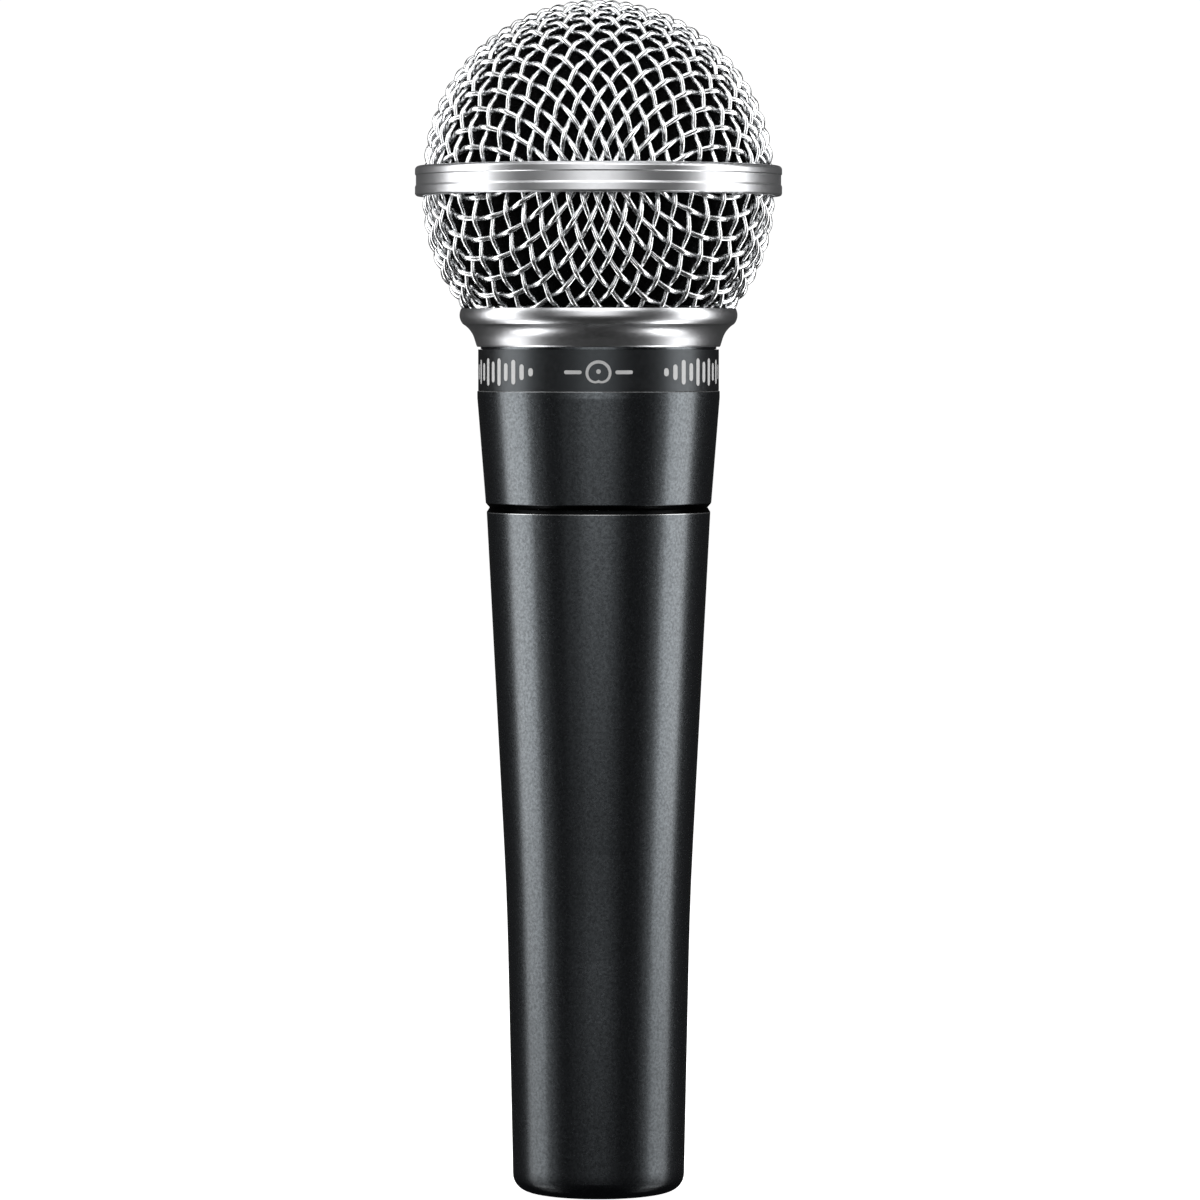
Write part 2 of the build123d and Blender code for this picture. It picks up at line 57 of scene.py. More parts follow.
# ---- sizes that the CAD frame doesn't hold ----
WIRE_R = 0.37 * MM
UPPER_CELL = 2.63 * MM
LOWER_CELL = 2.76 * MM
STEPS = 6  # points along a wire between two crossings
WIRE_SIDES = 10
FOAM_WALL = 3.0 * MM
FOAM_HOLE_R = 13.2 * MM
LEAD_R = 0.55 * MM
BUTT_DULL = (1.4 * MM, 3.6 * MM)  # the butt's corner shines less below these heights
GROOVE_LOW = 92.56 * MM
GROOVE_HIGH = 93.88 * MM
SOCKET_THREAD_R = 14.5 * MM
THREADS_LOW_Z = 83 * MM
NECK_THREAD_Z = 115.0 * MM
MARKS_Z = 111.63 * MM
BAR_HEIGHTS = (1.1, 2.1, 3.3, 2.4, 3.7, 2.8, 3.7, 2.4, 3.3, 2.1, 1.1)
BAR_SPACING = 1.5 * MM
PAINT_TINT = (0.86, 0.94, 1.0, 1)


# ================= materials =================
class Paint:
    """A Principled material and short ways to add procedural nodes to it."""

    def __init__(self, name, color, roughness, metallic=0.0, **sockets):
        self.material = bpy.data.materials.new(name)
        self.material.use_nodes = True
        self.tree = self.material.node_tree
        self.shader = self.tree.nodes["Principled BSDF"]
        self.set("Base Color", (*color, 1))
        self.set("Roughness", roughness)
        self.set("Metallic", metallic)
        for socket, value in sockets.items():
            self.set(socket.replace("_", " "), value)
        self.where = self.node("ShaderNodeTexCoord").outputs["Object"]
        self.normal = None

    def set(self, socket, value):
        self.shader.inputs[socket].default_value = value

    def node(self, kind, **settings):
        made = self.tree.nodes.new(kind)
        for key, value in settings.items():
            setattr(made, key, value)
        return made

    def link(self, source, target):
        self.tree.links.new(source, target)

    def placed(self, scale):
        """Object coordinates stretched by scale, so that a texture can run along one axis."""
        mapping = self.node("ShaderNodeMapping")
        mapping.inputs["Scale"].default_value = scale
        self.link(self.where, mapping.inputs["Vector"])
        return mapping.outputs["Vector"]

    def noise(self, size, detail=3.0, roughness=0.5, at=None):
        """Noise whose blobs are about size metres across."""
        texture = self.node("ShaderNodeTexNoise")
        texture.inputs["Scale"].default_value = 1 / size
        texture.inputs["Detail"].default_value = detail
        texture.inputs["Roughness"].default_value = roughness
        self.link(at or self.where, texture.inputs["Vector"])
        return texture.outputs["Fac"]

    def cells(self, size, output="Distance", feature="F1", at=None):
        texture = self.node("ShaderNodeTexVoronoi", feature=feature)
        texture.inputs["Scale"].default_value = 1 / size
        self.link(at or self.where, texture.inputs["Vector"])
        return texture.outputs[output]

    def wave(self, size, axis="Z"):
        texture = self.node("ShaderNodeTexWave", bands_direction=axis)
        texture.inputs["Scale"].default_value = 0.5 / size
        self.link(self.where, texture.inputs["Vector"])
        return texture.outputs["Fac"]

    def range(self, source, low, high, to_low=0.0, to_high=1.0):
        remap = self.node("ShaderNodeMapRange")
        for name, value in zip(("From Min", "From Max", "To Min", "To Max"), (low, high, to_low, to_high)):
            remap.inputs[name].default_value = value
        self.link(source, remap.inputs["Value"])
        return remap.outputs["Result"]

    def height(self):
        parts = self.node("ShaderNodeSeparateXYZ")
        self.link(self.where, parts.inputs["Vector"])
        return parts.outputs["Z"]

    def radius(self):
        length = self.node("ShaderNodeVectorMath", operation="LENGTH")
        self.link(self.placed((1, 1, 0)), length.inputs[0])
        return length.outputs["Value"]

    def steps(self, source, *stops):
        """A level that follows (place, level) stops along source."""
        low, high = stops[0][0], stops[-1][0]
        ramp = self.node("ShaderNodeValToRGB")
        ends = ramp.color_ramp.elements
        ends[0].color, ends[1].color = (stops[0][1],) * 3 + (1,), (stops[-1][1],) * 3 + (1,)
        for place, level in stops[1:-1]:
            ends.new((place - low) / (high - low)).color = (level, level, level, 1)
        self.link(self.range(source, low, high), ramp.inputs["Fac"])
        return ramp.outputs["Color"]

    def math(self, operation, a, b):
        made = self.node("ShaderNodeMath", operation=operation)
        self.link(a, made.inputs[0])
        self.link(b, made.inputs[1])
        return made.outputs["Value"]

    def mix(self, factor, a, b):
        mixed = self.node("ShaderNodeMix", data_type="RGBA")
        self.link(factor, mixed.inputs[0])
        for value, socket in ((a, mixed.inputs[6]), (b, mixed.inputs[7])):
            if isinstance(value, tuple):
                socket.default_value = (*value, 1)
            else:
                self.link(value, socket)
        return mixed.outputs[2]

    def color(self, output):
        self.link(output, self.shader.inputs["Base Color"])

    def rough(self, source, low, high, to_low, to_high):
        self.link(self.range(source, low, high, to_low, to_high), self.shader.inputs["Roughness"])

    def bump(self, height, depth, strength=1.0):
        """Raise the surface by height times depth metres."""
        bump = self.node("ShaderNodeBump")
        bump.inputs["Distance"].default_value = depth
        bump.inputs["Strength"].default_value = strength
        self.link(height, bump.inputs["Height"])
        if self.normal is not None:
            self.link(self.normal, bump.inputs["Normal"])
        self.normal = bump.outputs["Normal"]
        self.link(self.normal, self.shader.inputs["Normal"])


def handle_enamel():
    """Near-black satin enamel with fine metal flakes just under its skin.

    Its sharp edges are rubbed bare, the groove between the two housings is painted near black as painted
    shade and its shine is taken away, the butt's round corner is dull, and the threads were never painted."""
    paint = Paint("handle_enamel", (0.003, 0.0032, 0.0036), 0.27, IOR=1.6, Specular_Tint=PAINT_TINT)
    cloud = paint.noise(0.6 * MM, detail=2)
    dark = paint.mix(cloud, (0.0014, 0.0016, 0.0019), (0.0036, 0.0038, 0.0044))
    flake = paint.range(paint.cells(0.09 * MM, "Color"), 0.5, 1.0)
    skin = paint.mix(flake, dark, (0.0055, 0.006, 0.007))
    z = paint.height()
    # This mask marks the groove between the housings, which is painted near black as painted shade and loses
    # its shine.
    groove_painted_shade = paint.steps(z, (GROOVE_LOW, 0), (92.62 * MM, 1), (93.8 * MM, 1), (GROOVE_HIGH, 0))
    low_edge = paint.steps(z, (92.5 * MM, 0), (92.54 * MM, 1), (92.59 * MM, 1), (92.62 * MM, 0))
    top_edge = paint.steps(z, (108.92 * MM, 0), (108.97 * MM, 0.5), (109.06 * MM, 0.5), (109.1 * MM, 0))
    within = paint.range(paint.radius(), 14.6 * MM, SOCKET_THREAD_R)
    inside = paint.math("MULTIPLY", within, paint.range(z, THREADS_LOW_Z, 83.2 * MM))
    thread = paint.math("MAXIMUM", inside, paint.range(z, NECK_THREAD_Z, 115.05 * MM))
    bare = paint.math("MAXIMUM", thread, paint.math("MAXIMUM", low_edge, top_edge))
    # painted shade: the groove is painted near black
    skin = paint.mix(groove_painted_shade, skin, (0.0004, 0.0004, 0.0004))
    paint.color(paint.mix(bare, skin, (0.4, 0.405, 0.41)))
    paint.link(bare, paint.shader.inputs["Metallic"])
    grain = paint.range(paint.noise(0.34 * MM, detail=2, roughness=0.6), 0.36, 0.64, 0.57, 1.0)
    # the groove's painted shade also takes away its shine
    shine = paint.math("MULTIPLY", paint.range(groove_painted_shade, 0, 1, 1.0, 0.02), grain)
    shine = paint.math("MULTIPLY", shine, paint.range(z, *BUTT_DULL, 0.03, 1.0))
    paint.link(shine, paint.shader.inputs["Specular IOR Level"])
    paint.rough(paint.noise(0.3 * MM), 0.3, 0.7, 0.22, 0.28)
    paint.bump(paint.noise(0.2 * MM, detail=3, roughness=0.6), 0.0065 * MM, 0.5)
    return paint.material


def satin_nickel(name, color, roughness, grain):
    """Bead-blasted nickel plate: a fine sparkling grain and a few handling marks."""
    paint = Paint(name, color, roughness, metallic=1.0)
    tone = paint.mix(paint.noise(3 * MM), tuple(0.9 * c for c in color), color)
    paint.color(tone)
    paint.rough(paint.noise(0.4 * MM), 0.3, 0.7, roughness - 0.02, roughness + 0.03)
    paint.bump(paint.noise(0.13 * MM, detail=2), grain, 0.5)
    return paint.material


def wire_steel():
    """Plated wire, its tone and dullness varying a little at random."""
    paint = Paint("wire_steel", (0.93, 0.935, 0.945), 0.25, metallic=1.0)
    paint.color(paint.mix(paint.noise(0.6 * MM), (0.8, 0.81, 0.82), (0.94, 0.95, 0.96)))
    paint.rough(paint.noise(0.3 * MM), 0.3, 0.7, 0.2, 0.3)
    paint.bump(paint.noise(0.2 * MM), 0.003 * MM, 0.5)
    return paint.material


def open_cell_foam():
    paint = Paint("open_cell_foam", (0.002, 0.002, 0.002), 0.95, Specular_IOR_Level=0.04)
    pore_pit_and_shade = paint.cells(0.55 * MM, feature="F1")
    # painted shade: each pore is painted darker toward its middle, where the bump sinks it
    paint.color(paint.mix(pore_pit_and_shade, (0.0006, 0.0006, 0.0006), (0.0036, 0.0036, 0.004)))
    paint.bump(pore_pit_and_shade, 0.3 * MM, 0.9)
    return paint.material


def moulded(name, color, roughness):
    """Moulded plastic with a fine spark-eroded skin."""
    paint = Paint(name, color, roughness)
    paint.color(paint.mix(paint.noise(4 * MM), tuple(0.8 * c for c in color), color))
    paint.rough(paint.noise(0.5 * MM), 0.3, 0.7, roughness - 0.06, roughness + 0.08)
    paint.bump(paint.noise(0.18 * MM), 0.01 * MM, 0.5)
    return paint.material


def printed_strip():
    """Black satin strip."""
    black = (0.004, 0.004, 0.0043)
    paint = Paint("printed_strip", black, 0.31, Specular_IOR_Level=0.55, Specular_Tint=PAINT_TINT)
    paint.color(paint.mix(paint.noise(2 * MM), (0.003, 0.003, 0.0033), (0.0055, 0.0055, 0.006)))
    paint.rough(paint.noise(0.5 * MM), 0.3, 0.7, 0.3, 0.38)
    paint.bump(paint.noise(0.3 * MM), 0.004 * MM, 0.4)
    return paint.material


def print_ink():
    paint = Paint("print_ink", (0.5, 0.5, 0.5), 0.5)
    paint.color(paint.mix(paint.noise(0.2 * MM), (0.44, 0.44, 0.44), (0.54, 0.54, 0.54)))
    return paint.material


def soft_rubber():
    paint = Paint("soft_rubber", (0.02, 0.02, 0.021), 0.7)
    paint.color(paint.mix(paint.noise(1.5 * MM), (0.014, 0.014, 0.015), (0.035, 0.035, 0.036)))
    paint.bump(paint.noise(0.25 * MM), 0.02 * MM, 0.5)
    return paint.material


def turned_metal(name, color, roughness):
    """Machined metal with fine rings left by the tool."""
    paint = Paint(name, color, roughness, metallic=1.0)
    rings = paint.noise(1 * MM, detail=2, at=paint.placed((0.4, 0.4, 9)))
    paint.color(paint.mix(rings, tuple(0.8 * c for c in color), color))
    paint.bump(rings, 0.01 * MM, 0.5)
    return paint.material


def plated_contact():
    paint = Paint("plated_contact", (0.83, 0.8, 0.74), 0.16, metallic=1.0)
    paint.rough(paint.noise(0.6 * MM), 0.3, 0.7, 0.12, 0.26)
    paint.bump(paint.noise(0.2 * MM), 0.004 * MM, 0.4)
    return paint.material


def copper_winding():
    """Turns of enamelled wire laid side by side, painted darker between the turns as painted shade."""
    paint = Paint("copper_winding", (0.72, 0.3, 0.13), 0.3, metallic=1.0, Coat_Weight=0.4)
    turns = paint.wave(0.22 * MM)
    # painted shade: the colour darkens between the turns, where the bump sinks
    paint.color(paint.mix(turns, (0.25, 0.08, 0.03), (0.8, 0.38, 0.18)))
    paint.bump(turns, 0.08 * MM, 1.0)
    return paint.material


def core_laminations():
    """A stack of thin steel sheets seen on edge."""
    paint = Paint("core_laminations", (0.3, 0.3, 0.32), 0.45, metallic=0.9)
    sheets = paint.wave(0.35 * MM, axis="Y")
    paint.color(paint.mix(sheets, (0.1, 0.1, 0.11), (0.38, 0.38, 0.4)))
    paint.bump(sheets, 0.05 * MM, 0.8)
    return paint.material


def wire_jacket(name, color):
    paint = Paint(name, color, 0.42)
    paint.color(paint.mix(paint.noise(1.2 * MM), tuple(0.75 * c for c in color), color))
    paint.bump(paint.noise(0.4 * MM), 0.01 * MM, 0.4)
    return paint.material


def woven_cloth():
    paint = Paint("woven_cloth", (0.1, 0.1, 0.105), 0.9)
    threads = paint.wave(0.18 * MM, axis="X")
    cross = paint.wave(0.18 * MM, axis="Y")
    paint.color(paint.mix(threads, (0.03, 0.03, 0.03), (0.13, 0.13, 0.135)))
    paint.bump(threads, 0.04 * MM, 0.8)
    paint.bump(cross, 0.04 * MM, 0.8)
    return paint.material


def grey_felt():
    paint = Paint("grey_felt", (0.42, 0.41, 0.39), 0.95)
    fibres = paint.noise(0.3 * MM, detail=5, roughness=0.7)
    paint.color(paint.mix(fibres, (0.26, 0.25, 0.24), (0.55, 0.54, 0.52)))
    paint.bump(fibres, 0.15 * MM, 0.9)
    return paint.material


def phenolic_board():
    paint = Paint("phenolic_board", (0.34, 0.2, 0.08), 0.5)
    grain = paint.noise(0.6 * MM, at=paint.placed((1, 6, 1)))
    paint.color(paint.mix(grain, (0.2, 0.1, 0.04), (0.42, 0.26, 0.11)))
    return paint.material


def hot_melt():
    paint = Paint("hot_melt", (0.72, 0.66, 0.5), 0.3, Subsurface_Weight=0.25)
    paint.color(paint.mix(paint.noise(3 * MM), (0.6, 0.54, 0.38), (0.8, 0.76, 0.62)))
    paint.bump(paint.noise(1.5 * MM), 0.15 * MM, 0.5)
    return paint.material


def thin_film():
    paint = Paint("thin_film", (0.8, 0.78, 0.68), 0.18, Transmission_Weight=0.3)
    paint.color(paint.mix(paint.noise(2 * MM), (0.7, 0.67, 0.55), (0.85, 0.83, 0.75)))
    return paint.material


# ================= meshes =================
def mesh_piece(name, points, faces, material, smooth=True):
    mesh = bpy.data.meshes.new(name)
    mesh.from_pydata([tuple(p) for p in points], [], [tuple(int(i) for i in f) for f in faces])
    mesh.validate()
    mesh.materials.append(material)
    mesh.polygons.foreach_set("use_smooth", [smooth] * len(mesh.polygons))
    piece = bpy.data.objects.new(name, mesh)
    bpy.context.scene.collection.objects.link(piece)
    return piece


def turned_piece(name, outline, material, turns=128):
    """A closed outline of (radius, z) points turned round the axis."""
    angles = np.arange(turns) / turns * math.tau
    rings = [(r * np.cos(angles), r * np.sin(angles), np.full(turns, z)) for r, z in outline]
    points = np.stack([np.stack(ring, axis=1) for ring in rings]).reshape(-1, 3)
    rows = len(outline)
    faces = []
    for row in range(rows):
        here, after = row * turns, (row + 1) % rows * turns
        for k in range(turns):
            n = (k + 1) % turns
            faces.append((here + k, here + n, after + n, after + k))
    return mesh_piece(name, points, faces, material)


def tube_arrays(path, outward, radius, sides):
    """A round tube with capped ends along a path; outward gives each point's reference direction."""
    along = np.gradient(path, axis=0)
    along /= np.linalg.norm(along, axis=1, keepdims=True)
    side = np.cross(along, outward)
    side /= np.linalg.norm(side, axis=1, keepdims=True)
    up = np.cross(side, along)
    turn = np.arange(sides) / sides * math.tau
    ring = up[:, None] * np.cos(turn)[None, :, None] + side[:, None] * np.sin(turn)[None, :, None]
    points = (path[:, None] + radius * ring).reshape(-1, 3)
    row = np.arange(len(path) - 1)[:, None] * sides
    k = np.arange(sides)[None]
    n = (k + 1) % sides
    walls = np.stack([row + k, row + n, row + sides + n, row + sides + k], axis=-1).reshape(-1, 4)
    last = (len(path) - 1) * sides
    caps = [list(range(sides))[::-1], [last + i for i in range(sides)]]
    return points, [tuple(f) for f in walls] + [tuple(c) for c in caps]


def tubes_piece(name, paths, radius, material, sides=WIRE_SIDES):
    """Many tubes as one mesh; paths holds (path, outward) pairs."""
    points, faces, start = [], [], 0
    for path, outward in paths:
        p, f = tube_arrays(path, outward, radius, sides)
        points.append(p)
        faces += [tuple(i + start for i in face) for face in f]
        start += len(p)
    return mesh_piece(name, np.concatenate(points), faces, material)


# ================= the woven grille =================
def woven_ball(step, count):
    """Points of a net draped over a unit ball, its cells all step long on every side.

    Cloth or woven wire drapes so: two straight threads cross at the top, and each further crossing is one
    step from its two neighbours."""
    quarter = np.full((count + 1, count + 1, 3), np.nan)
    arc = np.arange(count + 1) * step
    lean = math.sqrt(0.5)
    for towards, cells in (((-lean, -lean), quarter[:, 0]), ((lean, -lean), quarter[0])):
        cells[:, 0], cells[:, 1] = towards[0] * np.sin(arc), towards[1] * np.sin(arc)
        cells[:, 2] = np.cos(arc)
    for total in range(2, 2 * count + 1):
        i = np.arange(max(1, total - count), min(count, total - 1) + 1)
        j = total - i
        p, q, behind = quarter[i, j - 1], quarter[i - 1, j], quarter[i - 1, j - 1]
        between = np.sum(p * q, axis=1)
        share = math.cos(step) / (1 + between)
        left = (1 - share**2 * (2 + 2 * between)) / np.maximum(1 - between**2, 1e-12)
        aside = np.sqrt(np.where(left > 0, left, np.nan))[:, None] * np.cross(p, q)
        middle = share[:, None] * (p + q)
        one_way = np.linalg.norm(middle + aside - behind, axis=1)
        other_way = np.linalg.norm(middle - aside - behind, axis=1)
        found = middle + np.where((one_way < other_way)[:, None], -aside, aside)
        quarter[i, j] = found / np.linalg.norm(found, axis=1, keepdims=True)
    whole = np.full((2 * count + 1, 2 * count + 1, 3), np.nan)
    a, b = np.mgrid[0 : count + 1, 0 : count + 1]
    index, points = (a, b), quarter
    for _ in range(4):
        whole[index[0] + count, index[1] + count] = points
        index = (-index[1], index[0])
        points = np.stack([-points[..., 1], points[..., 0], points[..., 2]], axis=-1)
    return whole


def runs_between(path, low, high):
    """The stretches of a path that lie between two heights, each cut off exactly at them."""
    z = path[:, 2]
    inside = np.isfinite(z) & (z >= low) & (z <= high)
    edges = np.flatnonzero(np.diff(np.concatenate([[0], inside.astype(int), [0]])))
    for first, stop in edges.reshape(-1, 2):
        if stop - first < 3:
            continue
        keep = [path[first:stop]]
        for end, beyond in ((first, first - 1), (stop - 1, stop)):
            if not 0 <= beyond < len(path) or not np.isfinite(z[beyond]):
                continue
            limit = low if z[beyond] < low else high
            share = (limit - z[end]) / (z[beyond] - z[end])
            cut = path[end] + share * (path[beyond] - path[end])
            if 0.05 < share:
                keep = [cut[None], *keep] if beyond < first else [*keep, cut[None]]
        yield np.concatenate(keep)


def woven_half(name, radius, centre_z, pole, cell, offset, low, high, material):
    """Both families of wires of one half of the ball, each wire going over and under the other family."""
    mid_r = radius - 2 * WIRE_R
    count = 15 * STEPS
    net = woven_ball(cell / STEPS / mid_r, count)
    index = np.arange(-count, count + 1)
    pieces = []
    for family in (0, 1):
        lines = net if family == 0 else net.swapaxes(0, 1)
        paths = []
        for row in range(len(index)):
            number, rest = divmod(index[row] - offset, STEPS)
            if rest:
                continue
            out = lines[:, row]
            phase = (index - offset) / STEPS + number + family
            swell = mid_r + WIRE_R * 1.03 * np.cos(math.pi * phase)
            path = out * swell[:, None]
            path[:, 2] = centre_z + pole * path[:, 2]
            for run in runs_between(path, low, high):
                outward = run - np.array([0, 0, centre_z])
                paths.append((run, outward / np.linalg.norm(outward, axis=1, keepdims=True)))
        pieces.append(tubes_piece(f"{name}_wires_{'ab'[family]}", paths, WIRE_R, material))
    return pieces


def build_grille():
    steel = wire_steel()
    low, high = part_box("grille_upper_mesh")
    radius = (high[0] - low[0]) / 2
    centre, foot = high[2] - radius, low[2] + 0.1 * MM
    upper = woven_half("grille_upper", radius, centre, 1, UPPER_CELL, STEPS // 2, foot, high[2] + MM, steel)
    band_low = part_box("grille_band")[0][2]
    low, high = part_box("grille_lower_mesh")
    radius = (high[0] - low[0]) / 2
    centre, foot = band_low - 0.1 * MM, low[2] + 0.1 * MM
    lower = woven_half("grille_lower", radius, centre, -1, LOWER_CELL, 0, foot, band_low + 0.6 * MM, steel)
    for pieces, node in ((upper, "grille_upper_mesh"), (lower, "grille_lower_mesh")):
        for piece in pieces:
            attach(piece, "grille")
        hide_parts(node)


build_grille()


# ================= foam =================
def build_foam():
    """The foam ball inside the wires, its skin roughened by its open cells."""
    low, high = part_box("foam_liner")
    radius = (high[0] - low[0]) / 2
    upper_z = high[2] - radius
    lower_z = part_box("grille_band")[0][2] - 0.1 * MM
    inner = radius - FOAM_WALL

    def arc(ball, z, start, stop, steps):
        return [(ball * math.cos(a), z + ball * math.sin(a)) for a in np.linspace(start, stop, steps)]

    bottom = -math.asin((lower_z - low[2]) / radius)
    hole_angle = -math.acos(FOAM_HOLE_R / inner)
    outline = arc(radius, lower_z, bottom, 0, 16) + arc(radius, upper_z, 0, math.radians(89.6), 40)
    outline += arc(inner, upper_z, math.radians(89.6), 0, 30) + arc(inner, lower_z, 0, hole_angle, 14)
    outline += [(FOAM_HOLE_R, low[2] + 0.4 * MM), (FOAM_HOLE_R + 0.4 * MM, low[2])]
    foam = turned_piece("windscreen_foam", outline, open_cell_foam(), turns=180)
    rng = np.random.default_rng(7)
    points = np.array([v.co for v in foam.data.vertices])
    points *= 1 + rng.normal(0, 0.0012, len(points))[:, None] * np.array([1, 1, 0])
    foam.data.vertices.foreach_set("co", points.ravel())
    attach(foam, "foam_liner")
    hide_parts("foam_liner")


build_foam()


# ================= flexible pieces inside =================
def smooth_path(corners, rounds=4):
    """A line whose corners are cut again and again until it is smooth. Both ends stay put."""
    path = np.array(corners, float)
    for _ in range(rounds):
        cut = np.stack([0.75 * path[:-1] + 0.25 * path[1:], 0.25 * path[:-1] + 0.75 * path[1:]], axis=1)
        path = np.concatenate([path[:1], cut.reshape(-1, 3), path[-1:]])
    return path


def build_leads():
    """The two insulated wires from the transformer up to the cartridge."""
    low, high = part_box("cartridge_leads")
    paths = []
    for side in (-1, 1):
        corners = [
            (side * 1.6 * MM, 0, low[2]),
            (side * 1.6 * MM, 0, low[2] + 6.7 * MM),
            (side * 4.6 * MM, side * 1.5 * MM, low[2] + 13.7 * MM),
            (side * 4.6 * MM, -side * 1.5 * MM, low[2] + 26.7 * MM),
            (side * 0.8 * MM, 0, high[2] - 8.95 * MM),
            (side * 0.8 * MM, 0, high[2]),
        ]
        path = smooth_path(corners)
        paths.append((path, np.tile((0.0, 1.0, 0.0), (len(path), 1))))
    jacket = wire_jacket("jacket_lead", (0.45, 0.03, 0.025))
    leads = tubes_piece("signal_leads", paths, LEAD_R, jacket, sides=16)
    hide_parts("cartridge_leads")
    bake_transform(leads)


def build_bellows():
    """The rubber mount: a clamped foot, two soft folds and a lip under the cartridge."""
    low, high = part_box("shock_mount")
    foot_r, inner_r, lip_r = high[0], 10.62 * MM, 12.3 * MM
    fold_z = np.linspace(113.8 * MM, 117.0 * MM, 33)
    fold = 0.8 * MM * np.sin(math.tau * (fold_z - fold_z[0]) / (fold_z[-1] - fold_z[0])) ** 2
    outline = [(inner_r, low[2] + 0.2 * MM), (inner_r + 0.2 * MM, low[2]), (foot_r - 0.3 * MM, low[2])]
    outline += [(foot_r, low[2] + 0.3 * MM), (foot_r, 111.8 * MM), (foot_r - 0.2 * MM, 112.0 * MM)]
    outline += [(11.6 * MM, 112.0 * MM), (11.38 * MM, 112.2 * MM)]
    outline += [(11.38 * MM + out, z) for out, z in zip(fold, fold_z)]
    outline += [(lip_r - 0.3 * MM, 117.2 * MM), (lip_r, 117.5 * MM), (lip_r, high[2] - 0.3 * MM)]
    outline += [(lip_r - 0.3 * MM, high[2]), (inner_r + 0.2 * MM, high[2]), (inner_r, high[2] - 0.2 * MM)]
    outline += [(inner_r + out, z) for out, z in zip(fold[::-1], fold_z[::-1])]
    bellows = turned_piece("rubber_bellows", outline, soft_rubber())
    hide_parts("shock_mount")
    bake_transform(bellows)


def build_diaphragm():
    """A thin dome with a pleated half-roll round it and a flat rim."""
    low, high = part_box("diaphragm")
    film, rim_z = 0.09 * MM, low[2] + 0.1 * MM
    dome_r, rise, roll_in, roll_out = 6.4 * MM, 1.7 * MM, 6.95 * MM, 10.35 * MM
    middle, half = (roll_in + roll_out) / 2, (roll_out - roll_in) / 2
    line = [(r, rim_z + rise * (1 - (r / dome_r) ** 2)) for r in np.linspace(0.05 * MM, dome_r, 24)]
    bend = np.linspace(0, math.pi, 17)
    line += [(middle - half * math.cos(a), rim_z + 0.7 * MM * math.sin(a)) for a in bend]
    line += [(high[0], rim_z)]
    outline = line + [(r, z + film) for r, z in line[::-1]]
    film_piece = turned_piece("pleated_diaphragm", outline, thin_film(), turns=288)
    points = np.array([v.co for v in film_piece.data.vertices])
    radius, angle = np.hypot(points[:, 0], points[:, 1]), np.arctan2(points[:, 1], points[:, 0])
    roll = np.clip(1 - ((radius - middle) / half) ** 2, 0, 1)
    points[:, 2] += 0.04 * MM * roll * np.cos(36 * angle)
    film_piece.data.vertices.foreach_set("co", points.ravel())
    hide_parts("diaphragm")
    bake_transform(film_piece)


build_leads()
build_bellows()
build_diaphragm()


# ================= print on the black band =================
def on_band(edge, radius):
    """Flat (sideways, height) points laid round the band; sideways is the arc from the front."""
    sideways, height = np.array(edge, float).T
    angle = sideways / radius - math.pi / 2
    return np.stack([radius * np.cos(angle), radius * np.sin(angle), height], axis=1)


def printed_strip_mesh(left, right, band_r, closed=False):
    """A layer of ink between two edges: its (points, faces)."""
    layers = [on_band(edge, band_r + rise) for rise in (0.004 * MM, 0.024 * MM) for edge in (left, right)]
    rows = len(left)
    faces = []
    for k in range(rows if closed else rows - 1):
        a, b = 4 * k, 4 * ((k + 1) % rows)
        faces += [(a + 1, a, b, b + 1), (a + 2, a + 3, b + 3, b + 2)]
        faces += [(a, a + 2, b + 2, b), (a + 3, a + 1, b + 1, b + 3)]
    if not closed:
        last = 4 * (rows - 1)
        faces += [(0, 1, 3, 2), (last + 1, last, last + 2, last + 3)]
    return np.stack(layers, axis=1).reshape(-1, 3), faces


def bar_edges(place, length, width, upright=True):
    """The two edges of a bar with round ends, centred on place."""
    turn = np.radians(np.linspace(-82, 0, 6))
    half = width / 2
    reach = length / 2 - half
    straight = np.linspace(-reach, reach, 8)[1:-1]
    along = np.concatenate([half * np.sin(turn) - reach, straight, reach - half * np.sin(turn[::-1])])
    across = np.concatenate([half * np.cos(turn), np.full(6, half), half * np.cos(turn[::-1])])
    if upright:
        return [np.stack([place[0] + sign * across, place[1] + along], axis=1) for sign in (-1, 1)]
    return [np.stack([place[0] + along, place[1] - sign * across], axis=1) for sign in (-1, 1)]


def pickup_edges(place, height, stroke):
    """The outer and inner edge of a pickup diagram: a round lobe with a dimple below."""
    turn = np.linspace(0, math.tau, 60, endpoint=False)
    reach = height / 1.25 * (0.58 + 0.42 * np.cos(turn))
    across, up = np.sin(turn), np.cos(turn)
    return [
        np.stack([place[0] + (reach + grow) * across, place[1] + (reach + grow) * up], axis=1)
        for grow in (-stroke / 2, stroke / 2)
    ]


